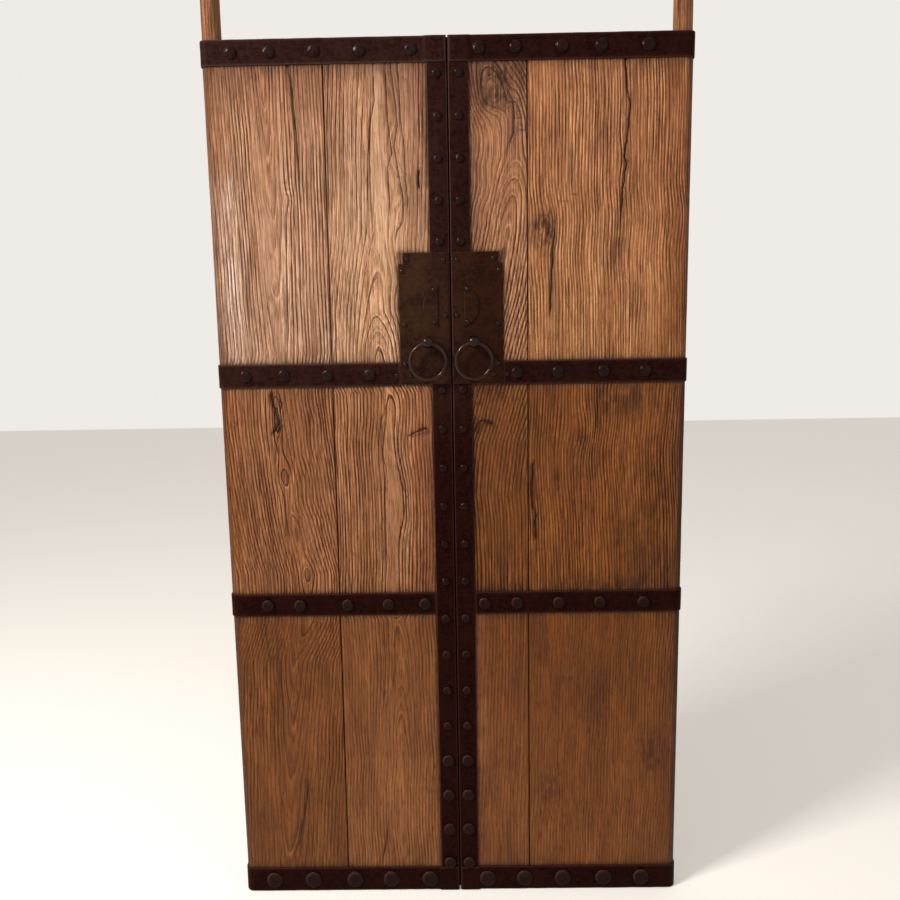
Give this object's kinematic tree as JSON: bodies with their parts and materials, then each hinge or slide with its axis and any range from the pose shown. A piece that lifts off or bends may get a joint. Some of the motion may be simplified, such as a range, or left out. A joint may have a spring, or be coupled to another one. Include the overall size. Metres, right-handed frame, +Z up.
{
  "type": "iron-bound plank double door",
  "caption": "Double plank door bound in forged iron, with studded straps, lock plates, half-moon plates, hanging ring pulls and wooden top pivots.",
  "frame": {"origin": "on the floor under the middle of the pair, centre of the overall box", "axes": "+Z up along the pivots, +X to the right seen from the front, the face with the ring pulls looks toward -Y"},
  "size_m": [1.065, 0.108, 2.12],
  "materials": {
    "plank_wood": "matte",
    "batten_wood": "matte",
    "strap_iron": "matte",
    "stud_iron": "satin",
    "ring_iron": "satin"
  },
  "bodies": {
    "left_leaf": {"left_stile_plank": "plank_wood", "left_meeting_plank": "plank_wood", "left_loose_tongue": "batten_wood", "left_batten_head": "batten_wood", "left_batten_lock": "batten_wood", "left_batten_lower": "batten_wood", "left_batten_foot": "batten_wood", "left_strap_head": "strap_iron", "left_strap_lock": "strap_iron", "left_strap_lower": "strap_iron", "left_strap_foot": "strap_iron", "left_edge_angle": "strap_iron", "left_lock_plate": "strap_iron", "left_half_moon": "strap_iron", "left_strap_studs": "stud_iron", "left_edge_studs": "stud_iron", "left_plate_nails": "stud_iron", "left_ring_eye": "ring_iron", "left_bent_nail": "stud_iron"},
    "left_ring_pull": {"left_ring": "ring_iron"},
    "right_leaf": {"right_stile_plank": "plank_wood", "right_meeting_plank": "plank_wood", "right_loose_tongue": "batten_wood", "right_batten_head": "batten_wood", "right_batten_lock": "batten_wood", "right_batten_lower": "batten_wood", "right_batten_foot": "batten_wood", "right_strap_head": "strap_iron", "right_strap_lock": "strap_iron", "right_strap_lower": "strap_iron", "right_strap_foot": "strap_iron", "right_edge_angle": "strap_iron", "right_lock_plate": "strap_iron", "right_half_moon": "strap_iron", "right_strap_studs": "stud_iron", "right_edge_studs": "stud_iron", "right_plate_nails": "stud_iron", "right_ring_eye": "ring_iron", "right_bent_nail": "stud_iron"},
    "right_ring_pull": {"right_ring": "ring_iron"}
  },
  "joints": [
    {"name": "right_leaf_swing", "type": "hinge", "parent": "left_leaf", "child": "right_leaf", "pos_m": [0.5075, 0.0045, 0], "axis": [0, 0, -1], "range_deg": [0, 100]},
    {"name": "left_ring_lift", "type": "hinge", "parent": "left_leaf", "child": "left_ring_pull", "pos_m": [-0.053, -0.0405, 1.34777], "axis": [-1, 0, 0], "range_deg": [-7, 180]},
    {"name": "right_ring_lift", "type": "hinge", "parent": "right_leaf", "child": "right_ring_pull", "pos_m": [0.0495, -0.0405, 1.34777], "axis": [-1, 0, 0], "range_deg": [-7, 180]}
  ]
}
